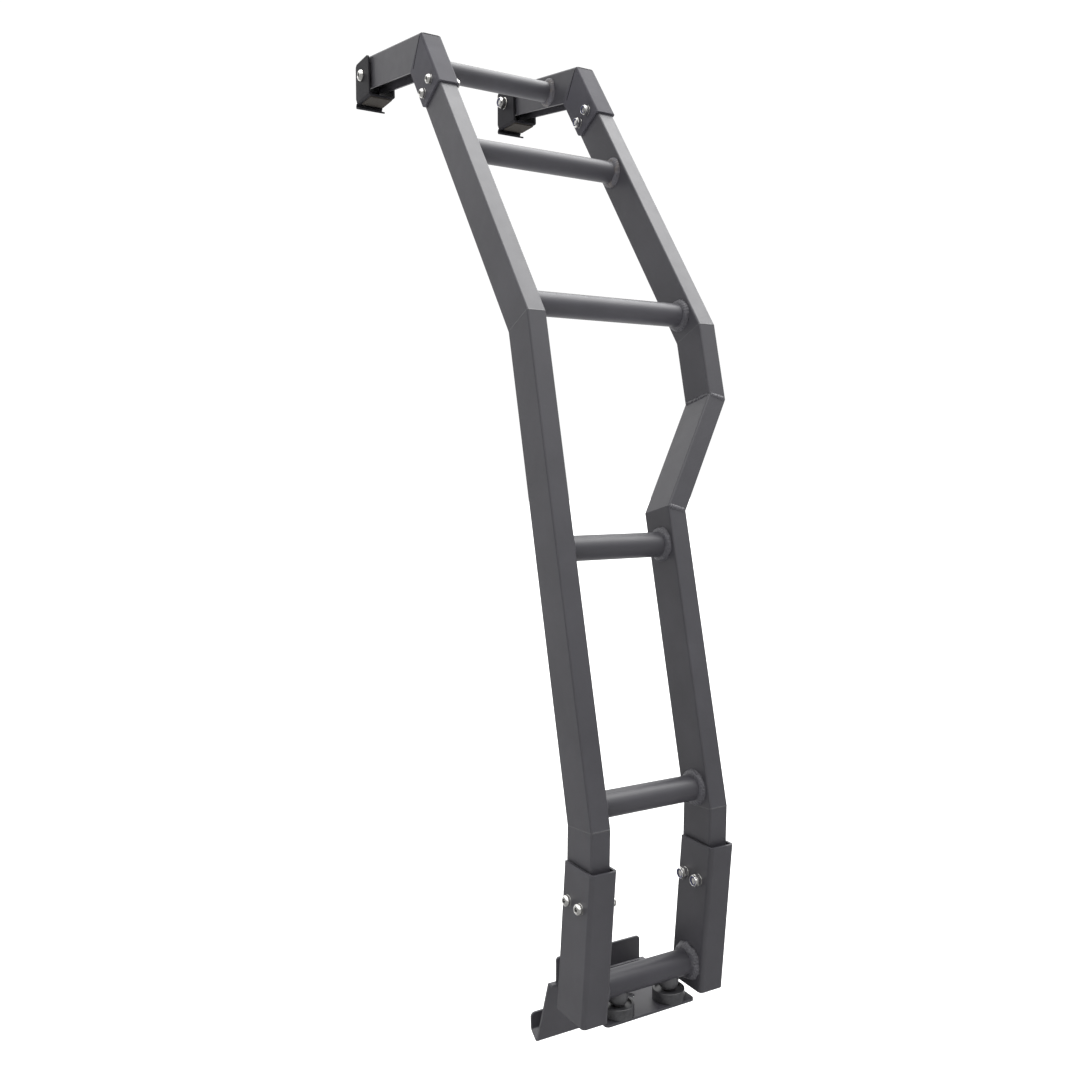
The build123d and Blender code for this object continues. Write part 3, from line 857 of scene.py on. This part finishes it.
class LADDER_OT_finishes(bpy.types.Operator):
    """Make the finishes and give every CAD piece its own"""
    bl_idname = "ladder.finishes"
    bl_label = "Finishes"

    def execute(self, context):
        settings = context.scene.ladder_settings
        coat = powder_coat(settings, "powder_coat")
        bracket_coat = powder_coat(settings, "bracket_coat", tone=1.4, gloss=0.06)
        hook_coat = powder_coat(settings, "hook_coat", tone=0.45, gloss=0.06)
        # A lighter copy of the same powder coat, as painted light on the top three rungs
        painted_light_rung_coat = powder_coat(settings, "painted_light_rung_coat", tone=1.2)
        powder_coat(settings, "weld_coat", tone=1.4, gloss=0.6, pitted=0.0011)
        powder_coat(settings, "scorched_coat", tone=1.8, scorched=0.5, pitted=0.0009)
        nylon_ring(settings)
        socket_painted_shade(settings)
        by_slot = {
            "powder_coat": coat,
            "zinc_bolt": plated_zinc(settings),
            "blackened_steel": blackened_steel(settings),
            "foot_rubber": moulded_rubber(settings),
            "hook_liner": hook_liner(settings)}
        # The top three rungs take the painted-light copy of the coat
        own_coat = {name + "_rung": painted_light_rung_coat for name in ("top", "second", "third")}
        own_coat["bottom_rung"] = powder_coat(settings, "low_rung_coat", gloss=0.26)
        for side in ("left", "right"):
            own_coat[side + "_top_socket"] = bracket_coat
            own_coat[side + "_hook"] = hook_coat
        for entry in frame["record"]["subparts"]:
            node = NODES[entry["node"]]
            if not node.material_slots:
                node.data.materials.append(None)
            for place in node.material_slots:
                place.material = own_coat.get(entry["node"], by_slot[entry["material_slot"]])
        return {"FINISHED"}


class LADDER_OT_cross_bolts(bpy.types.Operator):
    """Add the cross bolts of the top brackets and the bottom sleeves"""
    bl_idname = "ladder.cross_bolts"
    bl_label = "Cross bolts"

    def execute(self, context):
        size = context.scene.ladder_hardware.bolt
        # The third finish is the painted shade for the bolt sockets
        zinc, nylon, painted_shade = bolt_finishes()
        top_row = run_in(UPPER - TOP_ROW_TURN) * BOLT_SPACING / 2
        low_row = run_in(LOWER) * BOLT_SPACING / 2
        tops = [TOP_BOLTS - top_row, TOP_BOLTS + top_row]
        lows = [LOW_BOLTS - low_row, LOW_BOLTS + low_row]
        for name, points, x, node, outward in (
            ("left_top", tops, LEFT_X, "left_top_socket", -1),
            ("right_top", tops, RIGHT_X, "right_top_socket", 1),
            ("left_sleeve", lows, LEFT_X, "left_bottom_sleeve", -1),
            ("right_sleeve", lows, FOOT_X, "right_bottom_sleeve", 1),
        ):
            steel, rings = bolt_set(size, points, x, half_width(node), outward, True)
            add_piece(steel, name + "_bolts", zinc, recess=painted_shade)
            add_piece(rings, name + "_nut_rings", nylon)
        return {"FINISHED"}


class LADDER_OT_hook_bolts(bpy.types.Operator):
    """Replace the plain pivot bolts of the hooks with finished ones"""
    bl_idname = "ladder.hook_bolts"
    bl_label = "Hook bolts"

    def execute(self, context):
        size = context.scene.ladder_hardware.pivot
        # The third finish is the painted shade for the bolt sockets
        zinc, nylon, painted_shade = bolt_finishes()
        for side, x, outward in (("left", LEFT_X, -1), ("right", RIGHT_X, 1)):
            body = side + "_hook_clamp"
            steel, rings = bolt_set(
                size, [PIVOT], x, half_width(side + "_hook"), outward, False)
            piece = add_piece(
                steel, side + "_pivot_bolt", zinc, body, recess=painted_shade)
            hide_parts(side + "_hook_bolt")
            add_piece(rings, side + "_pivot_nut_ring", nylon, body)
        return {"FINISHED"}


class LADDER_OT_clamp_screws(bpy.types.Operator):
    """Replace the plain clamp screws with finished ones and weld their bosses to the rung"""
    bl_idname = "ladder.clamp_screws"
    bl_label = "Clamp screws"

    def execute(self, context):
        size = context.scene.ladder_hardware.clamp
        plate, foot_recess = size * 0.18, 2.4 * MM
        steel = material_named("blackened_steel")
        rung_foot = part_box("bottom_rung")[0].z
        bosses = []
        for side in ("left", "right"):
            foot_low, foot_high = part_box(side + "_clamp_foot")
            low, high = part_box(side + "_clamp_screw")
            middle = (foot_low + foot_high) / 2
            seat = Vector((middle.x, middle.y, low.z + size * HEX_HEAD_HEIGHT))
            recess = Vector((middle.x, middle.y, foot_high.z - foot_recess))
            forms = [
                upright(hexagon_head(size), seat, downward=True),
                upright(threaded_end(size, 0.0, high.z - seat.z), seat),
                upright(washer(size, size, plate), recess),
                upright(hexagon_head(size), recess + Vector((0.0, 0.0, plate)))]
            piece = add_piece(gather(forms), side + "_screw", steel)
            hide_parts(side + "_clamp_screw")
            # A boss starts inside the rung and tapers down to the foot
            reach = rung_foot - foot_high.z
            boss = turned([
                (-9.0 * MM, 0.0), (-9.0 * MM, 9.0 * MM), (-7.0 * MM, 11.6 * MM),
                (-2.5 * MM, 12.0 * MM), (1.0 * MM, 12.0 * MM), (reach * 0.40, 11.7 * MM),
                (reach * 0.70, 11.0 * MM), (reach * 0.88, 10.0 * MM), (reach * 0.98, 8.6 * MM),
                (reach, 0.0)], 72)
            bosses.append(upright(boss, Vector((middle.x, middle.y, rung_foot)), downward=True))
        add_piece(
            gather(bosses), "clamp_bosses", material_named("powder_coat"),
            angle=50.0)
        return {"FINISHED"}


class LADDER_OT_arm_ends(bpy.types.Operator):
    """Close the ends of the arms with welded plates"""
    bl_idname = "ladder.arm_ends"
    bl_label = "Arm ends"

    def execute(self, context):
        inside, thick = ARM_WIDTH - 2 * ARM_WALL, 2.5 * MM
        short, inset = 0.3 * MM, 0.4 * MM
        height = ARM_DEPTH - ARM_WALL - short
        forms = []
        for x in (LEFT_X, RIGHT_X):
            plate = bmesh.new()
            bmesh.ops.create_cube(plate, size=1.0)
            bmesh.ops.scale(plate, vec=(inside, thick, height), verts=plate.verts)
            bmesh.ops.bevel(
                plate, geom=plate.edges[:], offset=0.5 * MM, affect="EDGES", segments=2,
                profile=0.5, material=-1)
            bmesh.ops.rotate(
                plate, cent=(0, 0, 0), matrix=Matrix.Rotation(math.radians(ARM), 3, "X"),
                verts=plate.verts)
            place = APEX + ARM_RUN * (ARM_REACH - thick / 2 - inset)
            place += ARM_DOWN * (ARM_WALL + height / 2)
            bmesh.ops.translate(plate, vec=at_x(place, x), verts=plate.verts)
            forms.append(plate)
        add_piece(
            gather(forms), "arm_end_plates", material_named("powder_coat"))
        return {"FINISHED"}


class LADDER_OT_rung_welds(bpy.types.Operator):
    """Add the fillet welds round both ends of every rung"""
    bl_idname = "ladder.rung_welds"
    bl_label = "Rung welds"

    def execute(self, context):
        hardware = context.scene.ladder_hardware
        scorched, coat = material_named("scorched_coat"), material_named("weld_coat")
        for number, rung in enumerate(("top", "second", "third", "fourth", "fifth", "bottom")):
            node = rung + "_rung"
            low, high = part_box(node)
            centre = (low + high) / 2
            radius = (high.z - low.z) / 2
            leg = hardware.bottom_weld if rung == "bottom" else hardware.rung_weld
            rings = [
                weld_ring(centre, low.x, 1, radius, leg, number + 0.37),
                weld_ring(centre, high.x, -1, radius, leg, number + 7.91)]
            add_piece(
                gather(rings), node + "_welds", scorched if number < 2 else coat,
                angle=60.0)
        return {"FINISHED"}


class LADDER_OT_seam_welds(bpy.types.Operator):
    """Add the beads over the kicks, bends and mitres and along the gate tab"""
    bl_idname = "ladder.seam_welds"
    bl_label = "Seam welds"

    def execute(self, context):
        width = context.scene.ladder_hardware.seam_bead
        for name, beads, coat in (
            ("offset_welds", offset_beads(width), "weld_coat"),
            ("bend_seams", bend_beads(width), "powder_coat"),
            ("bracket_seams", bracket_beads(), "hook_coat"),
            ("gate_tab_weld", [tab_bead()], "weld_coat"),
        ):
            add_piece(gather(beads), name, material_named(coat), angle=70.0)
        return {"FINISHED"}


def studio_world():
    """A white sweep behind the ladder, a darker room in front and a bright ceiling."""
    world = bpy.data.worlds.new("studio")
    world.use_nodes = True
    tree = world.node_tree
    backdrop = tree.nodes["Background"]
    backdrop.inputs["Color"].default_value = (1.0, 1.0, 1.0, 1.0)
    place = tree.nodes.new("ShaderNodeTexCoord")
    back = tree.nodes.new("ShaderNodeVectorMath")
    back.operation = "DOT_PRODUCT"
    back.inputs[1].default_value = TOWARDS_BACKDROP
    tree.links.new(place.outputs["Generated"], back.inputs[0])
    sweep = range_node(
        tree, back.outputs["Value"], 0.31, 1.04, start=0.33, end=0.74, easing="SMOOTHSTEP")
    split = tree.nodes.new("ShaderNodeSeparateXYZ")
    tree.links.new(place.outputs["Generated"], split.inputs["Vector"])
    ceiling = range_node(
        tree, split.outputs["Z"], 0.0, 1.6, start=0.10, end=0.62, easing="SMOOTHSTEP")
    brightest = tree.nodes.new("ShaderNodeMath")
    brightest.operation = "MAXIMUM"
    tree.links.new(sweep, brightest.inputs[0])
    tree.links.new(ceiling, brightest.inputs[1])
    tree.links.new(brightest.outputs["Value"], backdrop.inputs["Strength"])
    return world


class LADDER_OT_stage(bpy.types.Operator):
    """Add the floor, the lights and the camera"""
    bl_idname = "ladder.stage"
    bl_label = "Stage"

    def execute(self, context):
        settings = context.scene.ladder_settings
        material, tree, shader, mapping = new_material("pale_floor")
        mottle(
            tree, shader, mapping, settings.floor_colour, (3.0, 2.0, 0.5),
            [(0.3, 0.99), (0.7, 1.01)])
        shader.inputs["Roughness"].default_value = 0.9
        form = bmesh.new()
        bmesh.ops.create_grid(form, x_segments=1, y_segments=1, size=FLOOR_HALF_SIZE)
        height = CAD_BOX[0][2] - FLOOR_UNDER_LADDER
        bmesh.ops.translate(form, vec=(0, 0, height), verts=form.verts)
        mesh = bpy.data.meshes.new("floor")
        form.to_mesh(mesh)
        form.free()
        mesh.materials.append(material)
        floor = bpy.data.objects.new("floor", mesh)
        context.scene.collection.objects.link(floor)
        floor.visible_glossy = False

        context.scene.world = studio_world()
        data = bpy.data.lights.new("overhead_key", "SUN")
        data.energy = 3.3
        data.angle = math.radians(58.0)
        key = bpy.data.objects.new("overhead_key", data)
        key.rotation_euler = Vector(KEY_DIRECTION).to_track_quat("-Z", "Y").to_euler()
        context.scene.collection.objects.link(key)
        context.scene.view_settings.view_transform = "Standard"

        data = bpy.data.cameras.new("camera")
        data.sensor_width = 36.0
        data.lens = 34.63
        data.clip_start = 0.05
        camera = bpy.data.objects.new("camera", data)
        camera.location = (-0.68065, -1.0468, 0.6107)
        camera.rotation_euler = (math.radians(90.0 - 4.2), 0.0, math.radians(-29.74))
        context.scene.collection.objects.link(camera)
        context.scene.camera = camera
        return {"FINISHED"}


class LADDER_PT_panel(bpy.types.Panel):
    """Lists the colours, the sizes and the operators in the sidebar"""
    bl_idname = "LADDER_PT_panel"
    bl_label = "Gate ladder"
    bl_space_type = "VIEW_3D"
    bl_region_type = "UI"
    bl_category = "Gate ladder"

    def draw(self, context):
        layout = self.layout
        for group in (context.scene.ladder_settings, context.scene.ladder_hardware):
            for name in group.__annotations__:
                layout.prop(group, name)
        for operator in OPERATORS:
            layout.operator(operator.bl_idname)


OPERATORS = (
    LADDER_OT_finishes,
    LADDER_OT_cross_bolts,
    LADDER_OT_hook_bolts,
    LADDER_OT_clamp_screws,
    LADDER_OT_arm_ends,
    LADDER_OT_rung_welds,
    LADDER_OT_seam_welds,
    LADDER_OT_stage,
)
CLASSES = (LadderSettings, LadderHardware, *OPERATORS, LADDER_PT_panel)


def register():
    """Add the classes, and the two groups of settings to the scene."""
    for item in CLASSES:
        bpy.utils.register_class(item)
    bpy.types.Scene.ladder_settings = PointerProperty(type=LadderSettings)
    bpy.types.Scene.ladder_hardware = PointerProperty(type=LadderHardware)


def unregister():
    """Take the groups of settings and the classes away again."""
    del bpy.types.Scene.ladder_hardware
    del bpy.types.Scene.ladder_settings
    for item in reversed(CLASSES):
        bpy.utils.unregister_class(item)


def main():
    """Build the scene with the operators."""
    register()
    bpy.ops.ladder.finishes()
    bpy.ops.ladder.cross_bolts()
    bpy.ops.ladder.hook_bolts()
    bpy.ops.ladder.clamp_screws()
    bpy.ops.ladder.arm_ends()
    bpy.ops.ladder.rung_welds()
    bpy.ops.ladder.seam_welds()
    bpy.ops.ladder.stage()


if __name__ == "__main__":
    main()
